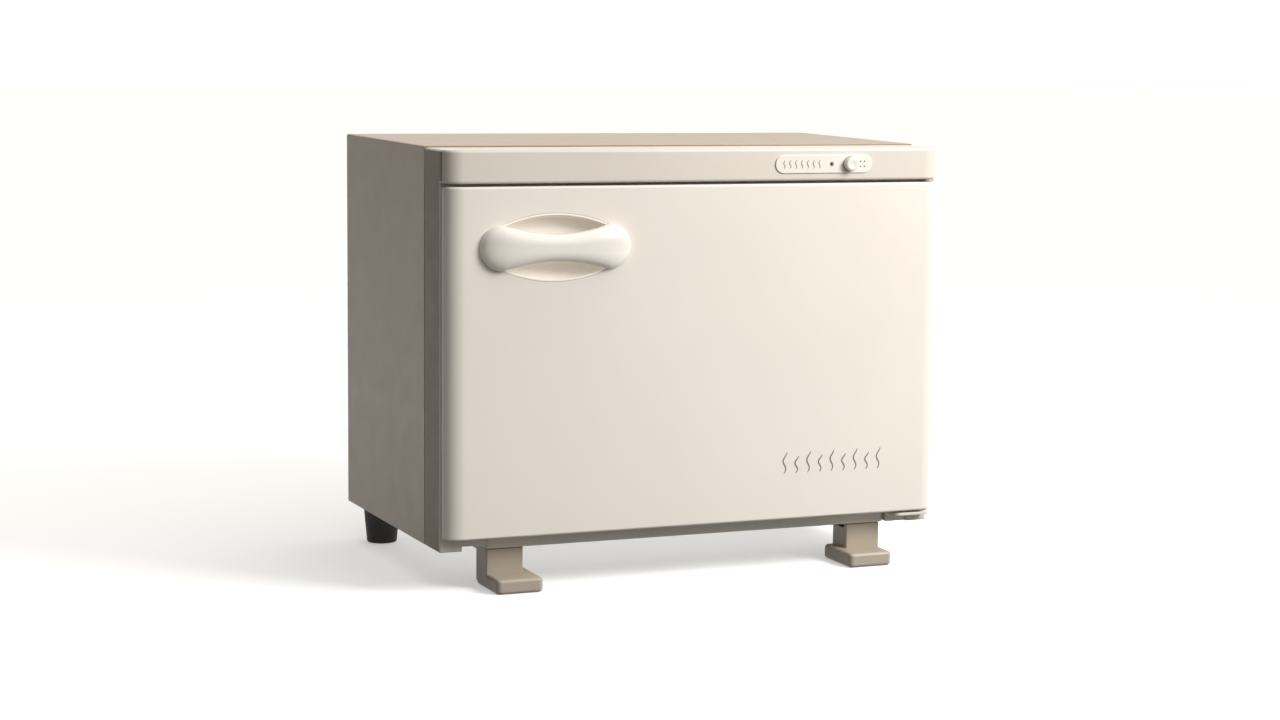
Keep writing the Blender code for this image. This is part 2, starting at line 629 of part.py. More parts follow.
def make_hinges():
    """The upper pin is pressed into the header's solid end; the lower one stands on a bracket."""
    def upright(name, low, high, radius, surface=None):
        return rod(name, (HINGE_X, HINGE_Y, low), (HINGE_X, HINGE_Y, high), radius, surface)

    pin = upright("upper_hinge_pin", DOOR_TOP - 0.012, 0.353, PIN_RADIUS, STEEL)
    join(pin, upright("upper_pin_collar", DOOR_TOP + 0.0006, HEADER_BOTTOM - GAP, COLLAR_RADIUS))

    inner, top = TRAY_HALF + 0.005, 0.0443
    width = (TRAY_HALF + 0.0018, BLOCK_INNER - GAP)
    bracket = box("lower_hinge_bracket", width, (FRAME_FRONT + 0.001, -0.096), (0.0352, top), BEIGE_ABS)
    tongue = (-0.1385, FRAME_FRONT - GAP)
    join(bracket, box("bracket_tongue", (inner, 0.2225), tongue, (0.0418, top)))
    join(bracket, box("bracket_neck", (inner, BLOCK_INNER - 0.002), (-0.130, -0.120), (0.0418, top)))
    join(bracket, upright("lower_pin", 0.043, DOOR_BOTTOM + 0.012, PIN_RADIUS))
    join(bracket, upright("lower_pin_collar", 0.043, DOOR_BOTTOM - 0.0006, COLLAR_RADIUS))

    frame = bpy.data.objects["front_frame"]
    x, hole = (TRAY_HALF + BLOCK_INNER) / 2 + 0.001, SCREW_RADIUS + 0.0002
    for number, y in ((1, -0.115), (2, -0.101)):
        cut(bracket, cutter_rod(f"bracket_hole_{number}", (x, y, 0.03), (x, y, 0.05), hole))
        cut(frame, cutter_rod(f"bracket_thread_{number}", (x, y, 0.04), (x, y, 0.054), hole))
        room = (x - 0.004, x + 0.004), (y - 0.004, y + 0.004), (0.0475, 0.055)
        cut(frame, cutter_box(f"thread_room_{number}", *room))
        screw(f"bracket_screw_{number}", (x, y, 0.035), (0, 0, 1), 0.0115)


# ---------------------------------------------------------------- tray and feet

def make_drip_tray():
    """Shallow pan with a full-height lip across its front."""
    tray = box("drip_tray", (-TRAY_HALF, TRAY_HALF), TRAY_Y, (TRAY_Z[0], TRAY_Z[1]), BEIGE_ABS, 0.001)
    cut(tray, cutter_box(
        "tray_space", (-TRAY_HALF + 0.002, TRAY_HALF - 0.002), (TRAY_Y[0] + 0.003, TRAY_Y[1] - 0.002),
        (TRAY_Z[0] + 0.002, 0.1)))
    carry(axis_empty("tray_slide", (0, TRAY_Y[0], TRAY_Z[0])), tray)


def make_front_foot(side, sign):
    """Leg with a forward toe, and an arm behind it that carries the tray and bolts to the pan."""
    def span(a, b):
        return tuple(sorted((sign * a, sign * b)))

    toe = (TOE_FRONT, LEG_Y[1])
    foot = box(f"front_foot_{side}", span(TOE_INNER, FOOT_OUTER), toe, (0, TOE_HEIGHT), BEIGE_ABS)
    round_edges(foot, 0.003, 3)
    leg = box(f"leg_{side}", span(LEG_INNER, FOOT_OUTER), LEG_Y, (0.003, ARM_Z[1]))
    join(foot, round_edges(leg, 0.001, 2))
    width = span(LEG_INNER, FOOT_OUTER)
    join(foot, box(f"arm_{side}", width, (LEG_Y[0] + 0.005, BOSS_Y[1]), ARM_Z))
    join(foot, box(f"foot_boss_{side}", width, BOSS_Y, (ARM_Z[0], BASE_TOP - SHEET - GAP)))
    x, y = sign * (LEG_INNER + FOOT_OUTER) / 2, sum(BOSS_Y) / 2
    cut(foot, cutter_rod(f"foot_hole_{side}", (x, y, 0.0), (x, y, 0.06), SCREW_RADIUS + 0.0002))
    cut(bpy.data.objects["base_pan"], cutter_rod(
        f"foot_thread_{side}", (x, y, 0.03), (x, y, 0.06), SCREW_RADIUS + 0.0002))
    screw(f"front_foot_screw_{side}", (x, y, ARM_Z[0] - 0.0002), (0, 0, 1), 0.020)


def make_rear_foot(side, sign):
    """Tapered rubber foot with a countersunk well for its screw."""
    x, y = sign * REAR_FOOT[0], REAR_FOOT[1]
    top = BASE_TOP - SHEET - GAP
    low, high = REAR_FOOT_RADII
    foot = rod(f"rear_foot_{side}", (x, y, 0), (x, y, top), low, RUBBER, end_radius=high)
    cut(foot, cutter_rod(f"rear_foot_well_{side}", (x, y, -0.01), (x, y, 0.030), 0.005))
    cut(foot, cutter_rod(f"rear_foot_hole_{side}", (x, y, 0.0), (x, y, 0.06), SCREW_RADIUS + 0.0002))
    cut(bpy.data.objects["base_pan"], cutter_rod(
        f"rear_foot_thread_{side}", (x, y, 0.03), (x, y, 0.06), SCREW_RADIUS + 0.0002))
    screw(f"rear_foot_screw_{side}", (x, y, 0.0298), (0, 0, 1), 0.020)


make_outer_case()
make_front_frame()
make_base_and_rear()
make_chamber()
for level_name, level in RACK_LEVELS.items():
    make_rack(level_name, level)
make_controls()
make_door()
make_hinges()
make_drip_tray()
for side, sign in (("left", -1), ("right", 1)):
    make_front_foot(side, sign)
    make_rear_foot(side, sign)
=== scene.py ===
"""Visual model of the hot towel warming cabinet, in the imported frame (metres, +Z up)."""

import math

import bmesh
import bpy
from mathutils import Matrix, Vector


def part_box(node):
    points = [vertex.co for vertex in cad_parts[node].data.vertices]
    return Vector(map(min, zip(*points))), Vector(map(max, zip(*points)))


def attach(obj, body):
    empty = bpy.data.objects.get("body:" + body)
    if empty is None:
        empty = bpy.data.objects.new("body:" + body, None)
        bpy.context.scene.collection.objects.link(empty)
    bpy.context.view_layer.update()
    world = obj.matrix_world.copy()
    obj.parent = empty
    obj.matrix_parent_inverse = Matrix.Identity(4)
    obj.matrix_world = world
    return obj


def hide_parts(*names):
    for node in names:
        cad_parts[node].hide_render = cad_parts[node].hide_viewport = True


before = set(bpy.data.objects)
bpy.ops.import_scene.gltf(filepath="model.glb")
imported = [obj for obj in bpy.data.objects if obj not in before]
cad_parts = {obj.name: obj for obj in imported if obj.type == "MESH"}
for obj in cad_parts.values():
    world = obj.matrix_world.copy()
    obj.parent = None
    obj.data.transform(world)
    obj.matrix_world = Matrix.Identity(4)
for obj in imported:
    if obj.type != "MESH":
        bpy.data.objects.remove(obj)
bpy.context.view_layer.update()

# Overall: half the width, sheet and moulding thickness, the clearance between two pieces.
HALF = 0.225
SHEET = 0.001
WALL = 0.0025
GAP = 0.0003

# Depth: the seam between case and frame, the frame's face, the door's face, the farthest points.
SEAM = -0.086
FRAME_FRONT = -0.126
FRONT = -0.140
CASE_BACK = 0.140
REACH = 0.152

# A cutter that runs through a face starts or ends at one of these.
FAR_FRONT, FAR_BACK = -0.2, 0.1

# Front frame and the openings in it.
FRAME_BOTTOM, FRAME_TOP = 0.0345, 0.350
HEADER_BOTTOM, HEADER_TOP = 0.3377, 0.365
CORNER_WIDTH = 0.016
HEADER_CORNER_DEPTH, DOOR_CORNER_DEPTH = 0.013, 0.0115
STILE = 0.205
OPENING_HALF = 0.200
OPENING_Z = (0.060, 0.328)
SCREW_HOLE = 0.0017
BRACKET_SCREWS_Y = (-0.115, -0.101)

# Door and hinge.
DOOR_BOTTOM, DOOR_TOP = 0.0461, 0.3353
DOOR_BACK = FRAME_FRONT - 0.0015
DOOR_HALF = HALF - 0.0015
HINGE_X, HINGE_Y = 0.217, -0.133
HINGE_PIN, HINGE_COLLAR = 0.0025, 0.0044
PLUG_BACK = -0.112

# Chamber and racks.
CHAMBER_HALF = 0.188
CHAMBER_Z = (0.066, 0.322)
CHAMBER_Y = (-0.108, 0.112)
RACK_LEVELS = {"lower": 0.132, "upper": 0.224}
RACK_HALF = 0.184
RACK_Y = (-0.095, 0.098)
RACK_WIRE = 0.0018
CROSS_WIRE_SHARE = 0.68
CROSS_WIRES = 19

# Handle: grip and pocket.
HANDLE = Vector((-0.130, 0.2853))
GRIP_HALF, GRIP_SHOULDER = 0.0655, 0.046
GRIP_MID_HEIGHT, GRIP_END_HEIGHT = 0.0115, 0.0187
POCKET_HALF, POCKET_HEIGHT, POCKET_ARC, POCKET_DEPTH = 0.050, 0.028, 0.116, 0.016
POCKET_WALL = 0.0015

# Controls, all on one level of the header.
CONTROL_Z = 0.3517
BADGE_X = (0.0666, 0.1575)
BADGE_HALF_HEIGHT = 0.0077
BUTTON_X, BUTTON_RADIUS, BUTTON_FLANGE = 0.1365, 0.006, 0.0078
BUTTON_NOSE, BUTTON_HEEL = FRONT - 0.0068, -0.1255
LAMP_X, LAMP_RADIUS = 0.1193, 0.0015
CONTROL_HOLES = ((BUTTON_X, BUTTON_RADIUS + 0.0005), (LAMP_X, LAMP_RADIUS + 0.0003))
PRINT_DEPTH = 0.0001

# Drip tray and the hinge block beside it.
TRAY_HALF = 0.1835
TRAY_WALL = 0.002
BLOCK_INNER = 0.2055
BRACKET_SCREWS_X = (TRAY_HALF + BLOCK_INNER) / 2 + 0.001
BRACKET_TOP = 0.0443

# Feet: the front pair between these distances from the middle, the rear pair at one place.
SIDES = (("left", -1), ("right", 1))
FRONT_TOE_X, FRONT_LEG_X = (0.141, 0.182), (0.150, 0.182)
FRONT_SCREW = (0.166, -0.0525)
REAR_FOOT = (0.2005, 0.117)
FOOT_TOP = 0.0457


# ---------------------------------------------------------------- materials

def shader_of(name):
    """A new material and its nodes: (material, tree, Principled shader, object coordinates)."""
    made = bpy.data.materials.new(name)
    made.use_nodes = True
    tree = made.node_tree
    where = tree.nodes.new("ShaderNodeTexCoord").outputs["Object"]
    return made, tree, tree.nodes["Principled BSDF"], where


def noise(tree, where, scale, detail, stretch=None):
    """Noise of that scale. A stretch draws it out into brush lines."""
    if stretch is not None:
        mapping = tree.nodes.new("ShaderNodeMapping")
        mapping.inputs["Scale"].default_value = stretch
        tree.links.new(where, mapping.inputs["Vector"])
        where = mapping.outputs["Vector"]
    made = tree.nodes.new("ShaderNodeTexNoise")
    made.inputs["Scale"].default_value = scale
    made.inputs["Detail"].default_value = detail
    tree.links.new(where, made.inputs["Vector"])
    return made.outputs["Fac"]


def ramp(tree, factor, low, high):
    """Turns the middle of a noise's range into a blend of two colours."""
    made = tree.nodes.new("ShaderNodeValToRGB")
    for element, position, colour in zip(made.color_ramp.elements, (0.3, 0.7), (low, high)):
        element.position = position
        element.color = (*colour, 1.0)
    tree.links.new(factor, made.inputs["Fac"])
    return made.outputs["Color"]


def spread(tree, factor, low, high):
    """Turns a noise into a number between low and high."""
    made = tree.nodes.new("ShaderNodeMapRange")
    made.inputs["To Min"].default_value = low
    made.inputs["To Max"].default_value = high
    tree.links.new(factor, made.inputs["Value"])
    return made.outputs["Result"]


def bump(tree, shader, height, distance):
    made = tree.nodes.new("ShaderNodeBump")
    made.inputs["Distance"].default_value = distance
    made.inputs["Strength"].default_value = 1.0
    tree.links.new(height, made.inputs["Height"])
    tree.links.new(made.outputs["Normal"], shader.inputs["Normal"])


def glow(material, colour, strength):
    shader = material.node_tree.nodes["Principled BSDF"]
    shader.inputs["Emission Color"].default_value = (*colour, 1.0)
    shader.inputs["Emission Strength"].default_value = strength


def surface(name, colour, rough, grain, relief, metallic=0.0, tint=0.04, coat=0.0,
            stretch=None, patch=9.0, specular=0.5):
    """One finish: patchy colour, uneven gloss and a fine grain of that relief, all from noise."""
    made, tree, shader, where = shader_of(name)
    low = tuple(c * (1 - tint) for c in colour)
    high = tuple(min(1.0, c * (1 + tint * 0.6)) for c in colour)
    tree.links.new(ramp(tree, noise(tree, where, patch, 4.0), low, high), shader.inputs["Base Color"])
    fine = noise(tree, where, grain, 2.0, stretch)
    gloss = spread(tree, noise(tree, where, patch * 6, 3.0), rough * 0.85, rough * 1.15)
    tree.links.new(gloss, shader.inputs["Roughness"])
    shader.inputs["Metallic"].default_value = metallic
    shader.inputs["Coat Weight"].default_value = coat
    shader.inputs["Coat Roughness"].default_value = 0.12
    shader.inputs["Specular IOR Level"].default_value = specular
    bump(tree, shader, fine, relief)
    return made


IVORY = surface("ivory_moulding", (0.88, 0.825, 0.755), 0.30, 420, 0.000012, tint=0.02, coat=0.25)
IVORY_GRIP = surface("ivory_grip", (0.89, 0.845, 0.78), 0.20, 300, 0.000008, tint=0.015, coat=0.6)
# Painted light: the pocket's ivory is lighter than the door's and glows faintly, standing in for light
# bounced into the recess behind the grip.
POCKET_PAINTED_LIGHT = surface("pocket_ivory_painted_light", (0.93, 0.89, 0.825), 0.30, 400, 0.00001, tint=0.01, coat=0.2)
glow(POCKET_PAINTED_LIGHT, (1.0, 0.93, 0.84), 0.10)
BEIGE = surface("beige_moulding", (0.735, 0.685, 0.610), 0.36, 1400, 0.00002, tint=0.03, coat=0.12)
# Painted shade: a dark copy of the frame's beige, put on the frame's outer sides in place of the shade
# that falls on them.
FRAME_SIDE_PAINTED_SHADE = surface("moulding_flank_painted_shade", (0.200, 0.145, 0.092), 0.5, 1400, 0.00003)
FOOT = surface("foot_moulding", (0.46, 0.40, 0.325), 0.40, 1500, 0.00003, tint=0.05)
PAINT = surface("textured_paint", (0.400, 0.290, 0.178), 0.40, 1100, 0.00005, coat=0.10)
PLATE = surface("plate_white", (0.88, 0.84, 0.76), 0.28, 500, 0.00001, tint=0.015, coat=0.3)
PRINT = surface("print_grey", (0.20, 0.17, 0.135), 0.45, 2000, 0.000005, tint=0.08)
ALUMINIUM = surface("rolled_aluminium", (0.80, 0.80, 0.81), 0.28, 60, 0.00003, metallic=1.0, tint=0.05,
                    stretch=(60, 1, 1))
ZINC = surface("zinc_plate", (0.62, 0.62, 0.60), 0.36, 800, 0.00002, metallic=1.0, tint=0.12, patch=120)
CHROME = surface("plated_wire", (0.82, 0.82, 0.83), 0.13, 500, 0.00001, metallic=1.0, tint=0.05, patch=60)
RUBBER = surface("black_rubber", (0.028, 0.024, 0.020), 0.62, 1300, 0.00006, tint=0.2)
SEAL = surface("silicone_seal", (0.24, 0.23, 0.21), 0.55, 900, 0.00003, tint=0.1)
FOAM = surface("fibre_blanket", (0.72, 0.64, 0.42), 0.95, 260, 0.0008, tint=0.2)
NYLON = surface("nylon", (0.84, 0.82, 0.76), 0.42, 700, 0.00002)
BLACK = surface("black_moulding", (0.035, 0.034, 0.033), 0.42, 1200, 0.00004, tint=0.15)
MICA = surface("mica_sheet", (0.42, 0.28, 0.16), 0.5, 300, 0.0001, tint=0.3, patch=90)
LENS = surface("lamp_lens", (0.13, 0.035, 0.022), 0.12, 400, 0.00001, tint=0.05, coat=0.8)
BRASS = surface("inlet_pin_metal", (0.72, 0.66, 0.48), 0.25, 500, 0.00001, metallic=1.0, tint=0.06)


# ---------------------------------------------------------------- mesh helpers

def link(name, data):
    obj = bpy.data.objects.new(name, data)
    bpy.context.scene.collection.objects.link(obj)
    return obj


def from_bmesh(shape):
    bmesh.ops.recalc_face_normals(shape, faces=shape.faces)
    mesh = bpy.data.meshes.new("helper")
    shape.to_mesh(mesh)
    shape.free()
    return link("helper", mesh)


def block(x, y, z):
    """A box between the pairs x, y and z."""
    shape = bmesh.new()
    bmesh.ops.create_cube(shape, size=1.0)
    low, high = Vector((x[0], y[0], z[0])), Vector((x[1], y[1], z[1]))
    bmesh.ops.scale(shape, vec=high - low, verts=shape.verts)
    bmesh.ops.translate(shape, vec=(low + high) / 2, verts=shape.verts)
    return from_bmesh(shape)


def new_verts(result):
    """The vertices among what an extrusion made."""
    return [v for v in result["geom"] if isinstance(v, bmesh.types.BMVert)]


def prism(outline, axis, start, end):
    """(u, v) points are (x, z) along Y, (x, y) along Z and (y, z) along X."""
    place = {
        "X": lambda u, v: (start, u, v),
        "Y": lambda u, v: (u, start, v),
        "Z": lambda u, v: (u, v, start),
    }[axis]
    push = {"X": Vector((1, 0, 0)), "Y": Vector((0, 1, 0)), "Z": Vector((0, 0, 1))}[axis] * (end - start)
    shape = bmesh.new()
    face = shape.faces.new([shape.verts.new(place(u, v)) for u, v in outline])
    swept = bmesh.ops.extrude_face_region(shape, geom=[face])
    bmesh.ops.translate(shape, vec=push, verts=new_verts(swept))
    return from_bmesh(shape)


def skinned(rings):
    """A closed solid through rings of (x, y, z) points, with a flat cap at each end."""
    shape = bmesh.new()
    loops = [[shape.verts.new(spot) for spot in ring] for ring in rings]
    count = len(loops[0])
    for a, b in zip(loops, loops[1:]):
        for k in range(count):
            shape.faces.new((a[k], a[(k + 1) % count], b[(k + 1) % count], b[k]))
    shape.faces.new(loops[0])
    shape.faces.new(reversed(loops[-1]))
    return from_bmesh(shape)


def inward_directions(spots):
    """For each corner of a convex outline, the step that insets both its sides by one."""
    count = len(spots)
    area = sum(a.x * b.y - b.x * a.y for a, b in zip(spots, spots[1:] + spots[:1]))
    found = []
    for i in range(count):
        before = (spots[i] - spots[i - 1]).normalized()
        after = (spots[(i + 1) % count] - spots[i]).normalized()
        one, two = (Vector((-d.y, d.x)) * math.copysign(1, area) for d in (before, after))
        found.append((one + two) / (1 + one.dot(two)))
    return found


def soft_prism(outline, axis, start, end, radius, steps=5, both=True):
    """A prism of a convex outline whose rims are rounded by insetting it level by level.

    Without both, only the rim at the start is rounded.
    """
    place = {"Y": lambda u, v, w: (u, w, v), "Z": lambda u, v, w: (u, v, w)}[axis]
    spots = [Vector(point) for point in outline]
    spots = [a for a, b in zip(spots, spots[1:] + spots[:1]) if (a - b).length > 1e-7]
    inwards = inward_directions(spots)
    way = math.copysign(1, end - start)
    rim = [(radius * (1 - math.sin(t)), radius * (1 - math.cos(t)))
           for t in (math.pi / 2 * k / steps for k in range(steps + 1))]
    levels = [(inset, start + way * depth) for inset, depth in rim]
    levels += [(inset, end - way * depth) for inset, depth in reversed(rim)] if both else [(0.0, end)]
    return skinned([[place(*(spot + inward * inset), level) for spot, inward in zip(spots, inwards)]
                    for inset, level in levels])


def lathe(profile, start, end, sides=48):
    """A closed turned solid: profile holds (share of the way from start to end, radius)."""
    start, end = Vector(start), Vector(end)
    turn = (end - start).to_track_quat("Z", "Y").to_matrix()
    length = (end - start).length
    rings = []
    for share, radius in profile:
        angles = [2 * math.pi * k / sides for k in range(sides)]
        rings.append([start + turn @ Vector((radius * math.cos(a), radius * math.sin(a), share * length))
                      for a in angles])
    return skinned(rings)


def rod(start, end, radius, sides=48):
    return lathe([(0, radius), (1, radius)], start, end, sides)


def upright(x, y, low, high, radius):
    """A vertical rod."""
    return rod((x, y, low), (x, y, high), radius)


def bevel(obj, width, segments=4, angle=30):
    made = obj.modifiers.new("Bevel", "BEVEL")
    made.width = width
    made.segments = segments
    made.limit_method = "ANGLE"
    made.angle_limit = math.radians(angle)
    made.use_clamp_overlap = True
    made.miter_outer = "MITER_ARC"
    return obj


def evaluated_mesh(obj):
    bpy.context.view_layer.update()
    return bpy.data.meshes.new_from_object(obj.evaluated_get(bpy.context.evaluated_depsgraph_get()))


def bake(obj):
    """Turns the modifiers into plain mesh."""
    mesh = evaluated_mesh(obj)
    obj.modifiers.clear()
    obj.data = mesh
    return obj


def combine(obj, other, operation):
    bake(other)
    made = obj.modifiers.new(operation, "BOOLEAN")
    made.operation = operation
    made.object = other
    bake(obj)
    bpy.data.objects.remove(other)
    return obj


def cut(obj, *others):
    for other in others:
        combine(obj, other, "DIFFERENCE")
    return obj


def join(obj, *others):
    for other in others:
        combine(obj, other, "UNION")
    return obj


def finish_piece(obj, name, material, body, replaced=(), sharp=38):
    """Names, shades and colours a piece, and ties it to its body and its CAD nodes."""
    bake(obj)
    obj.data.shade_smooth()
    obj.data.set_sharp_from_angle(angle=math.radians(sharp))
    weighted = obj.modifiers.new("Normals", "WEIGHTED_NORMAL")
    weighted.keep_sharp = True
    bake(obj)
    assert len(obj.data.polygons) > 5, name
    obj.name = name
    obj.data.name = name
    obj.data.materials.clear()
    obj.data.materials.append(material)
    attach(obj, body)
    if replaced:
        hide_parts(*replaced)
    return obj


def arc(centre, radii, start, end, steps):
    """Points of an elliptical arc between two angles in degrees."""
    angles = [math.radians(start + (end - start) * i / steps) for i in range(steps + 1)]
    return [(centre[0] + radii[0] * math.cos(a), centre[1] + radii[1] * math.sin(a)) for a in angles]


def rounded_rectangle(u, v, radius, steps=8):
    """Corner points of a rectangle between the pairs u and v."""
    centres = ((u[1] - radius, v[1] - radius), (u[0] + radius, v[1] - radius),
               (u[0] + radius, v[0] + radius), (u[1] - radius, v[0] + radius))
    points = []
    for quarter, centre in enumerate(centres):
        points += arc(centre, (radius, radius), quarter * 90, quarter * 90 + 90, steps)
    return points


def ribbon(points, width, front):
    """A flat printed stroke through (x, z) points, tapered at both ends, on a face that looks to -Y."""
    count = len(points)
    left, right = [], []
    for i, (x, z) in enumerate(points):
        before, after = points[max(0, i - 1)], points[min(count - 1, i + 1)]
        along = Vector((after[0] - before[0], after[1] - before[1])).normalized()
        share = i / (count - 1)
        half = width / 2 * (0.35 + 0.65 * math.sin(math.pi * share) ** 0.5)
        left.append((x - along.y * half, z + along.x * half))
        right.append((x + along.y * half, z - along.x * half))
    return prism(left + right[::-1], "Y", front, front + PRINT_DEPTH)


# ---------------------------------------------------------------- case, frame and rear

def make_case():
    """One folded sheet: left side, top and right side."""
    half, top, bottom, bend = HALF - SHEET / 2, 0.3655, 0.035, 0.0012
    path = [(-half, bottom), *arc((-half + bend, top - bend), (bend, bend), 180, 90, 8),
            *arc((half - bend, top - bend), (bend, bend), 90, 0, 8), (half, bottom)]
    shape = bmesh.new()
    line = [shape.verts.new((u, SEAM, v)) for u, v in path]
    edges = [shape.edges.new(pair) for pair in zip(line, line[1:])]
    swept = bmesh.ops.extrude_edge_only(shape, edges=edges)
    bmesh.ops.translate(shape, vec=(0, CASE_BACK - SEAM, 0), verts=new_verts(swept))
    case = from_bmesh(shape)
    solid = case.modifiers.new("Solidify", "SOLIDIFY")
    solid.thickness = SHEET
    solid.offset = 0.0
    solid.use_even_offset = True
    bevel(case, 0.0003, 2, 60)
    finish_piece(case, "case_sheet", PAINT, "cabinet", ["outer_case"])


def header_outline():
    radii = (CORNER_WIDTH, HEADER_CORNER_DEPTH)
    level = FRONT + HEADER_CORNER_DEPTH
    left = arc((-HALF + CORNER_WIDTH, level), radii, 180, 270, 20)
    right = arc((HALF - CORNER_WIDTH, level), radii, 270, 360, 20)
    return [(-HALF, SEAM - GAP), *left, *right, (HALF, SEAM - GAP)]


def cut_lower_edge(body):
    """Clears the frame's bottom for the tray, the block at its left and the bracket at its right."""
    sides = (FAR_FRONT, FAR_BACK)
    cut(body, block((-TRAY_HALF - 0.001, TRAY_HALF + 0.001), sides, (0.0, 0.0459)))
    cut(body, block((-BLOCK_INNER, -TRAY_HALF), sides, (0.0, 0.0388)))
    cut(body, block((TRAY_HALF, BLOCK_INNER + GAP), sides, (0.0, 0.0447)))


def cut_fittings(body):
    """Holes for button, lamp, hinge pin, strike plate and bracket screws."""
    for x, radius in CONTROL_HOLES:
        cut(body, rod((x, FAR_FRONT, CONTROL_Z), (x, -0.13, CONTROL_Z), radius))
    cut(body, upright(HINGE_X, HINGE_Y, 0.33, 0.3535, 0.0027))
    cut(body, block((-0.2185, -0.2105), (FAR_FRONT, FRAME_FRONT + 0.0011), (0.169, 0.221)))
    x, head = BRACKET_SCREWS_X, 0.004
    for y in BRACKET_SCREWS_Y:
        cut(body, upright(x, y, 0.04, 0.0545, SCREW_HOLE))
        cut(body, block((x - head, x + head), (y - head, y + head), (0.0475, 0.055)))


def paint_shade_on_flanks(body):
    """Paints shade on the two outer sides of the frame: they get a darker material than its front,
    standing in for the shade that falls on them.
    """
    facing_out, skin = 0.93, 0.0015
    body.data.materials.append(FRAME_SIDE_PAINTED_SHADE)
    for face in body.data.polygons:
        if abs(face.normal.x) > facing_out and abs(face.center.x) > HALF - skin:
            face.material_index = 1


def make_frame():
    """Lower body and header in one shell, hollow behind, with the door's mouth through it."""
    body = block((-HALF, HALF), (FRAME_FRONT, SEAM - GAP), (FRAME_BOTTOM, FRAME_TOP))
    bevel(body, 0.0016, 4)
    join(body, soft_prism(header_outline(), "Z", HEADER_BOTTOM, HEADER_TOP, 0.0024, 6))
    ring = block((-HALF + WALL, HALF - WALL), (FRAME_FRONT + WALL, 0), (0.0372, HEADER_BOTTOM - 0.0002))
    cut(ring, block((-OPENING_HALF - WALL, OPENING_HALF + WALL), (FAR_FRONT, FAR_BACK),
                    (OPENING_Z[0] - WALL, OPENING_Z[1] + WALL)))
    header_space = block((-STILE, STILE), (FRONT + WALL, 0), (HEADER_BOTTOM + WALL, HEADER_TOP - WALL))
    mouth = bevel(block((-OPENING_HALF, OPENING_HALF), (FAR_FRONT, FAR_BACK), OPENING_Z), 0.0003, 2)
    cut(body, ring, header_space, mouth)
    cut_lower_edge(body)
    cut_fittings(body)
    bevel(body, 0.0005, 2, 50)
    finish_piece(body, "frame_moulding", BEIGE, "cabinet", ["front_frame"])
    # Painted shade on the frame's outer sides.
    paint_shade_on_flanks(body)


def make_inlet():
    """Three-pin socket: a flange, a body behind it and a mouth with two clipped corners."""
    flange = rounded_rectangle((0.130, 0.170), (0.074, 0.108), 0.004)
    inlet = soft_prism(flange, "Y", 0.143, CASE_BACK, 0.0008, 3, False)
    join(inlet, block((0.1368, 0.1632), (0.121, 0.141), (0.0808, 0.1012)))
    left, right, low, high, clip = 0.1388, 0.1612, 0.0828, 0.0992, 0.004
    mouth = [(left, low), (right, low), (right, high - clip), (right - clip, high),
             (left + clip, high), (left, high - clip)]
    cut(inlet, prism(mouth, "Y", 0.124, 0.2))
    bevel(inlet, 0.0004, 2, 50)
    finish_piece(inlet, "inlet_body", BLACK, "cabinet", ["power_inlet"])
    for number, (x, z) in enumerate(((0.143, 0.0895), (0.150, 0.0935), (0.157, 0.0895)), 1):
        blade = bevel(block((x - 0.001, x + 0.001), (0.1235, 0.136), (z - 0.002, z + 0.002)), 0.0005, 3)
        finish_piece(blade, f"inlet_blade_{number}", BRASS, "cabinet")


def make_wall_pad(side, sign):
    x, z = sign * 0.195, 0.335
    body = [(0, 0.010), (0.1, 0.010), (0.88, 0.0083), (0.97, 0.0079), (1.0, 0.0072)]
    hole = [(0, 0.0042), (0.9, 0.0045), (1, 0.0052)]
    pad = lathe(body, (x, CASE_BACK, z), (x, REACH, z))
    cut(pad, lathe(hole, (x, REACH - 0.006, z), (x, REACH + 0.0006, z)))
    finish_piece(pad, f"wall_pad_{side}", RUBBER, "cabinet", [f"rear_spacer_{side}"])


def make_vent_hood(row, column):
    left, level = -0.150 + column * 0.200, 0.262 + row * 0.013
    bulge = arc((0.1397, level + 0.0052), (0.0035, 0.0028), 0, 180, 10)
    hood = prism(bulge, "X", left + 0.001, left + 0.099)
    bevel(hood, 0.0004, 2, 50)
    finish_piece(hood, f"vent_hood_{row}_{column}", PAINT, "cabinet")


def make_screw(node, body):
    """Pan head with a cross recess, in the place of the plain CAD screw."""
    low, high = (Vector(corner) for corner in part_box(node))
    size = high - low
    axis = max(range(3), key=lambda i: size[i])
    towards = 1 if node.startswith(("rear_screw", "handle_screw")) else -1
    head = (low + high) / 2
    head[axis] = high[axis] if towards == 1 else low[axis]
    inward = Vector([-towards if i == axis else 0 for i in range(3)])
    dome = [(0.0, 0.0012), (0.03, 0.0021), (0.08, 0.0029), (0.14, 0.0032), (0.27, 0.0032)]
    shank = [(0.0019 / size[axis], 0.0015), (0.97, 0.0015), (1.0, 0.0008)]
    profile = [(share * 0.0066 / size[axis], radius) for share, radius in dome] + shank
    screw = lathe(profile, head, head + inward * size[axis], sides=28)
    other = [i for i in range(3) if i != axis]
    for long_side, short_side in (other, other[::-1]):
        reach = Vector((0, 0, 0))
        reach[long_side], reach[short_side], reach[axis] = 0.0018, 0.00035, 0.0011
        a, b = head - reach, head + reach
        cut(screw, block((a.x, b.x), (a.y, b.y), (a.z, b.z)))
    finish_piece(screw, "screw_" + node, ZINC, body, [node])


# ---------------------------------------------------------------- chamber and racks

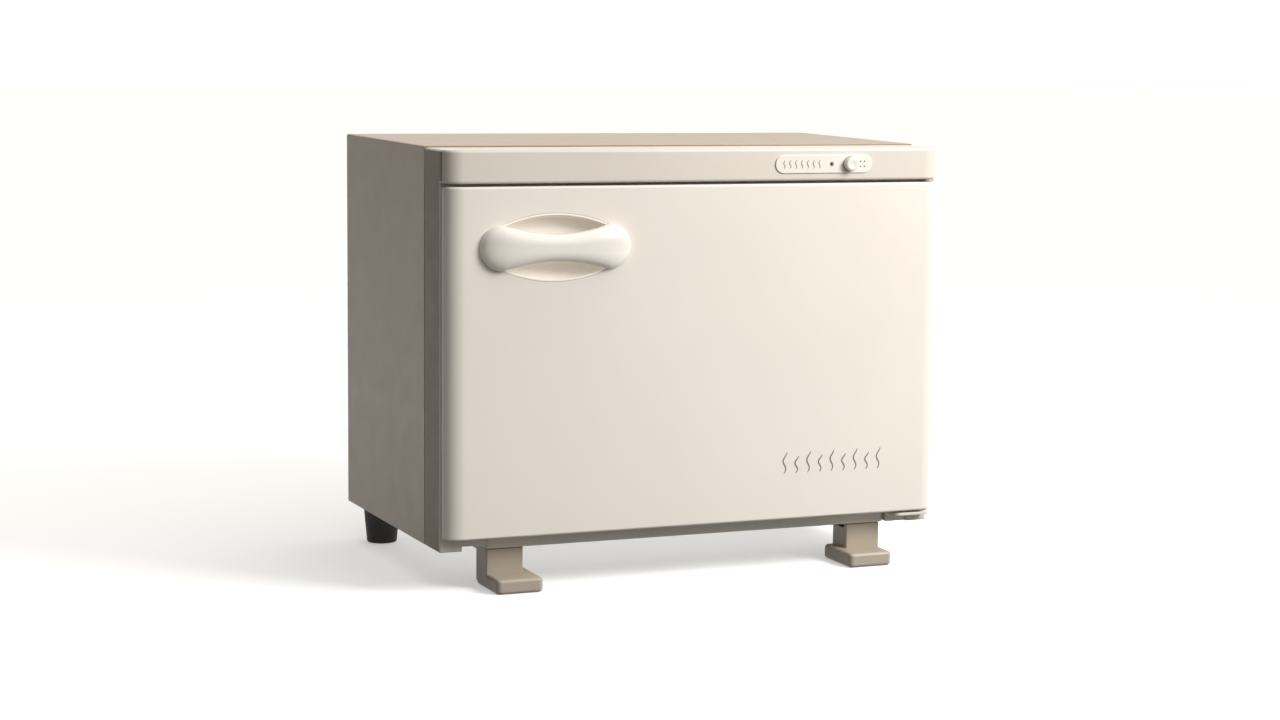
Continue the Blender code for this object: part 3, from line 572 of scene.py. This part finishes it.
def make_chamber():
    low, high = CHAMBER_Z
    front, back = CHAMBER_Y
    outer = rounded_rectangle((-CHAMBER_HALF, CHAMBER_HALF), CHAMBER_Z, 0.008, 10)
    inner = rounded_rectangle((-CHAMBER_HALF + SHEET, CHAMBER_HALF - SHEET), (low + SHEET, high - SHEET),
                              0.007, 10)
    liner = prism(outer, "Y", front, back)
    flange = rounded_rectangle((-OPENING_HALF + GAP, OPENING_HALF - GAP),
                               (OPENING_Z[0] + GAP, OPENING_Z[1] - GAP), 0.001, 3)
    join(liner, prism(flange, "Y", front - 0.0002, front + SHEET))
    cut(liner, prism(inner, "Y", FAR_FRONT, back - SHEET))
    bevel(liner, 0.0003, 2, 60)
    finish_piece(liner, "chamber_liner", ALUMINIUM, "cabinet", ["inner_chamber"])


def add_wire(data, spots, centre, closed=False, share=1.0):
    spline = data.splines.new("POLY")
    spline.points.add(len(spots) - 1)
    spline.use_cyclic_u = closed
    for point, (x, y) in zip(spline.points, spots):
        point.co = (x, y, centre, 1)
        point.radius = share


def make_rack(name, level):
    """Frame wire bent round at its corners, thinner cross wires let into it."""
    centre = level + GAP + RACK_WIRE
    half, front, back = RACK_HALF - RACK_WIRE, RACK_Y[0] + RACK_WIRE, RACK_Y[1] - RACK_WIRE
    data = bpy.data.curves.new(name, "CURVE")
    data.dimensions = "3D"
    data.bevel_depth = RACK_WIRE
    data.bevel_resolution = 5
    data.use_fill_caps = True
    add_wire(data, rounded_rectangle((-half, half), (front, back), 0.010, 8), centre, closed=True)
    for number in range(1, CROSS_WIRES + 1):
        x = -half + 2 * half * number / (CROSS_WIRES + 1)
        add_wire(data, ((x, front), (x, back)), centre, share=CROSS_WIRE_SHARE)
    curve = link(name, data)
    rack = link(name, evaluated_mesh(curve))
    bpy.data.objects.remove(curve)
    finish_piece(rack, f"{name}_wire_rack", CHROME, f"{name}_rack", [f"{name}_rack"], 60)


# ---------------------------------------------------------------- controls

def make_badge():
    levels = (CONTROL_Z - BADGE_HALF_HEIGHT, CONTROL_Z + BADGE_HALF_HEIGHT)
    stadium = rounded_rectangle(BADGE_X, levels, BADGE_HALF_HEIGHT - 0.0001, 14)
    plate = soft_prism(stadium, "Y", FRONT - 0.0012, FRONT - 0.0001, 0.0006, 4, False)
    for x, radius in CONTROL_HOLES:
        cut(plate, rod((x, FAR_FRONT, CONTROL_Z), (x, -0.13, CONTROL_Z), radius))
    finish_piece(plate, "control_badge", PLATE, "cabinet", ["control_plate"])


def make_button():
    """A cap with a dished face, and a flange near its back that keeps it in the header."""
    length = BUTTON_HEEL - BUTTON_NOSE
    r = BUTTON_RADIUS
    depths = [(0.00055, 0.0004), (0.00045, 0.0022), (0.0, r - 0.0022), (0.0001, r - 0.0012),
              (0.0005, r - 0.0005), (0.0012, r), (length - 0.0088, r), (length - 0.0086, BUTTON_FLANGE),
              (length - 0.0072, BUTTON_FLANGE), (length - 0.007, r), (length, r)]
    profile = [(depth / length, radius) for depth, radius in depths]
    button = lathe(profile, (BUTTON_X, BUTTON_NOSE, CONTROL_Z), (BUTTON_X, BUTTON_HEEL, CONTROL_Z))
    finish_piece(button, "button_cap", PLATE, "button", ["power_button"])


def make_lamp():
    dome = [(0.0, 0.0003), (0.01, 0.0007), (0.04, 0.0012), (0.09, LAMP_RADIUS), (1.0, LAMP_RADIUS)]
    lens = lathe(dome, (LAMP_X, FRONT - 0.0022, CONTROL_Z), (LAMP_X, -0.130, CONTROL_Z), sides=28)
    finish_piece(lens, "lamp_dome", LENS, "cabinet", ["pilot_lamp"])


def make_badge_print():
    """Four dots and a row of wavy strokes on the badge."""
    face = FRONT - 0.00128
    spots = [(x, z) for z in (0.3538, 0.3496) for x in (0.1465, 0.1502)]
    for number, (x, z) in enumerate(spots, 1):
        dot = rod((x, face, z), (x, face + PRINT_DEPTH, z), 0.00075, sides=20)
        finish_piece(dot, f"level_dot_{number}", PRINT, "cabinet")
    for number in range(7):
        x = 0.0745 + number * 0.0055
        shares = [t / 16 for t in range(17)]
        stroke = [(x + 0.0006 * math.sin(2.4 * math.pi * t), 0.3480 + 0.0072 * t) for t in shares]
        wisp = ribbon(stroke, 0.0008, face)
        finish_piece(wisp, f"badge_wisp_{number + 1}", PRINT, "cabinet")


# ---------------------------------------------------------------- door

def pocket_outline(grow=0.0, steps=40):
    """Two shallow arcs that meet at a point at each end."""
    half, height, radius = POCKET_HALF + grow, POCKET_HEIGHT + grow, POCKET_ARC
    sweep = math.degrees(math.asin(half / radius))
    centre = height - radius
    upper = arc((HANDLE.x, HANDLE.y + centre), (radius, radius), 90 - sweep, 90 + sweep, steps)
    lower = arc((HANDLE.x, HANDLE.y - centre), (radius, radius), 270 - sweep, 270 + sweep, steps)
    return upper + lower


def door_outline():
    """Plan of the door: round front corners, and a rear corner that turns about the hinge."""
    left, right = -DOOR_HALF, DOOR_HALF
    front_left = arc((left + CORNER_WIDTH, FRONT + DOOR_CORNER_DEPTH), (CORNER_WIDTH, DOOR_CORNER_DEPTH),
                     180, 270, 20)
    front_right = arc((right - 0.012, HINGE_Y), (0.012, HINGE_Y - FRONT), 270, 360, 16)
    rear_right = arc((HINGE_X, HINGE_Y), (right - HINGE_X, DOOR_BACK - HINGE_Y), 0, 90, 12)
    return [(left, DOOR_BACK), *front_left, *front_right, *rear_right[1:]]


def door_space():
    """Plan of the hollow in the door's skin, which follows the round left corner."""
    centre = (-DOOR_HALF + CORNER_WIDTH, FRONT + DOOR_CORNER_DEPTH)
    corner = arc(centre, (CORNER_WIDTH - WALL, DOOR_CORNER_DEPTH - WALL), 180, 270, 12)
    return [(-DOOR_HALF + WALL, 0), *corner, (STILE, FRONT + WALL), (STILE, 0)]


def make_door_skin():
    skin = soft_prism(door_outline(), "Z", DOOR_BOTTOM, DOOR_TOP, 0.0020, 6)
    cut(skin, prism(door_space(), "Z", DOOR_BOTTOM + WALL, DOOR_TOP - WALL))
    cut(skin, prism(pocket_outline(GAP), "Y", FAR_FRONT, -0.13))
    bush = 0.0134
    for low, high in ((DOOR_TOP - bush, DOOR_TOP + 0.01), (DOOR_BOTTOM - 0.01, DOOR_BOTTOM + bush)):
        cut(skin, upright(HINGE_X, HINGE_Y, low, high, HINGE_COLLAR))
    bevel(skin, 0.0005, 3, 50)
    finish_piece(skin, "door_skin", IVORY, "door", ["door_outer_panel"])


def make_pocket():
    floor = FRONT + POCKET_DEPTH
    cup = prism(pocket_outline(), "Y", FRONT + 0.0001, floor)
    bowl = soft_prism(pocket_outline(-POCKET_WALL), "Y", floor - POCKET_WALL, FAR_FRONT, 0.012, 12, False)
    cut(cup, bowl)
    bevel(cup, 0.0004, 3, 50)
    # The pocket's material carries painted light: a lighter ivory and a faint glow.
    finish_piece(cup, "grip_pocket", POCKET_PAINTED_LIGHT, "door", ["handle_pocket"])


def make_door_liner():
    """Inner panel: a plate with a raised plug, hollow behind, notched for the magnet and grooved."""
    levels = (DOOR_BOTTOM + WALL + GAP, DOOR_TOP - WALL - GAP)
    panel = block((-DOOR_HALF + WALL + GAP, STILE - GAP), (DOOR_BACK - 0.002, DOOR_BACK), levels)
    plug = rounded_rectangle((-0.196, 0.196), (0.064, 0.324), 0.007)
    join(panel, soft_prism(plug, "Y", PLUG_BACK, DOOR_BACK - 0.001, 0.0028, 5, False))
    cut(panel, block((-0.194, 0.194), (FAR_FRONT, PLUG_BACK - 0.002), (0.066, 0.322)))
    cut(panel, block((-0.2178, -0.2112), (-0.1342, 0), (0.1707, 0.2193)))
    for number in range(5):
        x = -0.140 + number * 0.070
        groove = rounded_rectangle((x - 0.004, x + 0.004), (0.090, 0.298), 0.0039)
        cut(panel, soft_prism(groove, "Y", PLUG_BACK - 0.0010, PLUG_BACK + 0.01, 0.0006, 2, False))
    bevel(panel, 0.0003, 2, 50)
    finish_piece(panel, "door_liner", IVORY, "door", ["door_inner_panel"])


def make_seal():
    outer = rounded_rectangle((-0.210, 0.210), (0.052, 0.332), 0.008)
    inner = rounded_rectangle((-0.1965, 0.1965), (0.0635, 0.3245), 0.007)
    seal = prism(outer, "Y", DOOR_BACK + 0.0002, FRAME_FRONT - 0.0002)
    cut(seal, prism(inner, "Y", FAR_FRONT, 0))
    bevel(seal, 0.0005, 3, 60)
    finish_piece(seal, "door_seal", SEAL, "door", ["door_gasket"])


def make_door_print():
    """A row of wavy strokes, taller and shorter by turns."""
    for number in range(9):
        x = 0.079 + number * 0.0112
        height = 0.0185 if number % 2 == 0 else 0.0150
        shares = [t / 24 for t in range(25)]
        stroke = [(x + 0.0015 * math.sin(2.5 * math.pi * t) + 0.0012 * t, 0.0860 + height * t)
                  for t in shares]
        wisp = ribbon(stroke, 0.0013, FRONT - 0.00008)
        finish_piece(wisp, f"door_wisp_{number + 1}", PRINT, "door")


def grip_section(x):
    """At x from the grip's middle: (half height, rear depth, front depth)."""
    reach = abs(x)
    if reach <= GRIP_SHOULDER:
        share = reach / GRIP_SHOULDER
        height = GRIP_MID_HEIGHT + (GRIP_END_HEIGHT - GRIP_MID_HEIGHT) * share ** 2
    else:
        share = (reach - GRIP_SHOULDER) / (GRIP_HALF - GRIP_SHOULDER)
        height = GRIP_END_HEIGHT * math.sqrt(max(0.0, 1 - share ** 2))
    proud = REACH + FRONT
    bulge = proud * max(0.0, 1 - (reach / GRIP_HALF) ** 4) ** 0.5
    rear = FRONT - GAP - 0.003 * max(0.0, 1 - (reach / 0.048) ** 4)
    return height, rear, FRONT - GAP - bulge * (1 - GAP / proud)


def make_grip():
    """A saddle-shaped bar: flat behind, bulging in front, and lower in the middle than at its ends."""
    stations, around = 120, 48
    tip = 0.9985  # share of the half length where the end caps sit, just short of the point
    rings = []
    for i in range(stations + 1):
        x = -GRIP_HALF * math.cos(math.pi * i / stations) * tip
        height, rear, front = grip_section(x)
        ring = []
        for k in range(around):
            angle = 2 * math.pi * k / around
            side, up = math.cos(angle), math.sin(angle)
            depth = (rear + (front - rear) * side ** 0.8) if side > 0 else rear
            lift = height * math.copysign(abs(up) ** 0.85, up) if side > -1e-6 else height * up
            ring.append((HANDLE.x + x, depth, HANDLE.y + lift))
        rings.append(ring)
    finish_piece(skinned(rings), "grip_bar", IVORY_GRIP, "door", ["door_handle"], 50)


# ---------------------------------------------------------------- hinge, tray and feet

def make_bracket():
    """Lower hinge: a block under the frame, a tongue to the front and a pin that stands up from it."""
    bottom, under = 0.0352, 0.0418
    root = block((TRAY_HALF + 0.0018, BLOCK_INNER - GAP), (FRAME_FRONT + 0.001, -0.096),
                 (bottom, BRACKET_TOP))
    bracket = bevel(root, 0.0008, 3)
    tongue = rounded_rectangle((TRAY_HALF + 0.005, 0.2225), (-0.1385, FRAME_FRONT - GAP), 0.005)
    join(bracket, soft_prism(tongue, "Z", under, BRACKET_TOP, 0.0005, 3))
    join(bracket, block((TRAY_HALF + 0.005, BLOCK_INNER - 0.002), (-0.130, -0.120), (under, BRACKET_TOP)))
    pin = [(0.0, HINGE_PIN), (0.94, HINGE_PIN), (1.0, 0.0019)]
    join(bracket, lathe(pin, (HINGE_X, HINGE_Y, 0.043), (HINGE_X, HINGE_Y, DOOR_BOTTOM + 0.012)))
    join(bracket, upright(HINGE_X, HINGE_Y, 0.0431, DOOR_BOTTOM - 0.0006, HINGE_COLLAR))
    for y in BRACKET_SCREWS_Y:
        cut(bracket, upright(BRACKET_SCREWS_X, y, 0.03, 0.05, SCREW_HOLE))
    finish_piece(bracket, "hinge_bracket", BEIGE, "cabinet", ["lower_hinge_bracket"])


def make_tray():
    inside = TRAY_HALF - TRAY_WALL
    tray = bevel(block((-TRAY_HALF, TRAY_HALF), (-0.1225, -0.064), (0.0346, 0.0452)), 0.0014, 4)
    cut(tray, bevel(block((-inside, inside), (-0.1195, -0.066), (0.0366, 0.1)), 0.0025, 4))
    bevel(tray, 0.0003, 2, 60)
    finish_piece(tray, "tray_pan", BEIGE, "drip_tray", ["drip_tray"])


def make_front_foot(side, sign):
    """Toe on the floor, upright leg, and a shelf that runs back under the base."""
    toe_x = sorted(sign * x for x in FRONT_TOE_X)
    leg_x = sorted(sign * x for x in FRONT_LEG_X)
    shelf_back, shelf_bottom, leg_top = -0.044, 0.030, 0.0342
    toe = rounded_rectangle(toe_x, (-0.1462, -0.092), 0.0045, 8)
    foot = soft_prism(toe, "Z", 0, 0.0125, 0.0030, 6)
    join(foot, bevel(block(leg_x, (-0.1195, -0.092), (0.003, leg_top)), 0.0012, 4))
    join(foot, block(leg_x, (-0.1145, shelf_back), (shelf_bottom, leg_top)))
    join(foot, block(leg_x, (-0.061, shelf_back), (shelf_bottom, FOOT_TOP)))
    cut(foot, upright(sign * FRONT_SCREW[0], FRONT_SCREW[1], 0.0, 0.06, SCREW_HOLE))
    bevel(foot, 0.0007, 3, 50)
    finish_piece(foot, f"foot_{side}", FOOT, "cabinet", [f"front_foot_{side}"])


def make_rear_foot(side, sign):
    """A round foot that widens upwards, with a deep hole for its screw."""
    x, y = sign * REAR_FOOT[0], REAR_FOOT[1]
    body = [(0, 0.0121), (0.012, 0.0129), (0.03, 0.01335), (0.60, 0.01575), (0.94, 0.0172),
            (0.98, 0.0171), (1, 0.0166)]
    foot = lathe(body, (x, y, 0), (x, y, FOOT_TOP))
    cut(foot, upright(x, y, -0.01, 0.030, 0.005), upright(x, y, 0.0, 0.06, SCREW_HOLE))
    finish_piece(foot, f"back_foot_{side}", RUBBER, "cabinet", [f"rear_foot_{side}"])


# ---------------------------------------------------------------- carried-over CAD nodes

def dress_nodes():
    """Gives every CAD node its finish; the ones that are replaced don't show."""
    looks = {
        "rear_panel": PAINT, "base_pan": ZINC, "insulation_wrap": FOAM, "insulation_rear": FOAM,
        "door_insulation": FOAM, "heater_plate": MICA, "thermostat": BLACK, "thermal_fuse": NYLON,
        "power_switch": BLACK, "door_magnet": BLACK, "upper_hinge_bush": NYLON, "lower_hinge_bush": NYLON,
    }
    for name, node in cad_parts.items():
        look = looks.get(name, ZINC)
        if not node.material_slots:
            node.data.materials.append(look)
        for holder in node.material_slots:
            holder.material = look


# ---------------------------------------------------------------- floor, light and camera

def make_floor():
    """Pale and faintly luminous. Diffuse rays pass it by, so it throws no light up at the cabinet."""
    shape = bmesh.new()
    bmesh.ops.create_grid(shape, x_segments=1, y_segments=1, size=15.0)
    floor = from_bmesh(shape)
    floor.name = "floor"
    floor.location = (0, 0, -0.0001)
    pale = surface("pale_floor", (0.93, 0.93, 0.93), 0.8, 30, 0.00001, tint=0.005, patch=1.0, specular=0.1)
    glow(pale, (1.0, 1.0, 1.0), 0.38)
    floor.data.materials.append(pale)
    floor.visible_diffuse = False


def make_key_light():
    lamp = bpy.data.lights.new("key", "AREA")
    lamp.shape = "RECTANGLE"
    lamp.size, lamp.size_y = 0.6, 0.6
    lamp.energy = 18.0
    lamp.color = (1.0, 0.985, 0.96)
    spot, target = Vector((0.80, -1.0, 0.90)), Vector((0.1, -0.1, 0.2))
    obj = link("key", lamp)
    obj.location = spot
    obj.rotation_euler = (target - spot).to_track_quat("-Z", "Y").to_euler()


def lobe(tree, where, direction, start, end, strength):
    """Light from around one direction: start and end are cosines of the angle to its middle."""
    facing = tree.nodes.new("ShaderNodeVectorMath")
    facing.operation = "DOT_PRODUCT"
    facing.inputs[1].default_value = direction
    tree.links.new(where, facing.inputs[0])
    share = tree.nodes.new("ShaderNodeMapRange")
    share.interpolation_type = "SMOOTHSTEP"
    share.inputs["From Min"].default_value = start
    share.inputs["From Max"].default_value = end
    share.inputs["To Max"].default_value = strength
    tree.links.new(facing.outputs["Value"], share.inputs["Value"])
    return share.outputs["Result"]


def make_world():
    """A dim warm room with a bright wall behind the cabinet and a bright ceiling in front of it."""
    world = bpy.data.worlds.new("studio")
    bpy.context.scene.world = world
    world.use_nodes = True
    tree = world.node_tree
    where = tree.nodes.new("ShaderNodeTexCoord").outputs["Generated"]
    wall = lobe(tree, where, (0.43, 0.90, 0.0), 0.55, 0.9, 1.15)
    ceiling = lobe(tree, where, (0.36, -0.36, 0.86), 0.45, 0.97, 1.20)
    dim, total = (tree.nodes.new("ShaderNodeMath") for _ in range(2))
    dim.inputs[0].default_value = 0.09
    tree.links.new(wall, dim.inputs[1])
    tree.links.new(dim.outputs["Value"], total.inputs[0])
    tree.links.new(ceiling, total.inputs[1])
    background = tree.nodes["Background"]
    background.inputs["Color"].default_value = (1.0, 0.96, 0.91, 1.0)
    tree.links.new(total.outputs["Value"], background.inputs["Strength"])


def make_camera():
    camera = bpy.data.cameras.new("camera")
    camera.sensor_width = 36
    camera.lens = 78.04
    camera.shift_x = -0.1326
    camera.shift_y = 0.0034
    obj = link("camera", camera)
    right = Vector((0.90318, -0.42893, 0.01645))
    up = Vector((0.03806, 0.11819, 0.99226))
    forward = Vector((0.42756, 0.89557, -0.12308))
    turn = Matrix((right, up, -forward)).transposed()
    obj.matrix_world = Matrix.Translation((-0.9170, -2.2743, 0.4732)) @ turn.to_4x4()
    bpy.context.scene.camera = obj


dress_nodes()
make_case()
make_frame()
make_inlet()
for side, sign in SIDES:
    make_wall_pad(side, sign)
for row in range(5):
    for column in range(2):
        make_vent_hood(row, column)
make_chamber()
for name, level in RACK_LEVELS.items():
    make_rack(name, level)
make_badge()
make_button()
make_lamp()
make_badge_print()
make_door_skin()
make_pocket()
make_door_liner()
make_seal()
make_door_print()
make_grip()
make_bracket()
make_tray()
for side, sign in SIDES:
    make_front_foot(side, sign)
    make_rear_foot(side, sign)
for node in sorted(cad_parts):
    if "_screw_" in node:
        make_screw(node, "door" if node.startswith("handle") else "cabinet")
make_floor()
make_key_light()
make_world()
make_camera()
bpy.context.scene.view_settings.view_transform = "Standard"
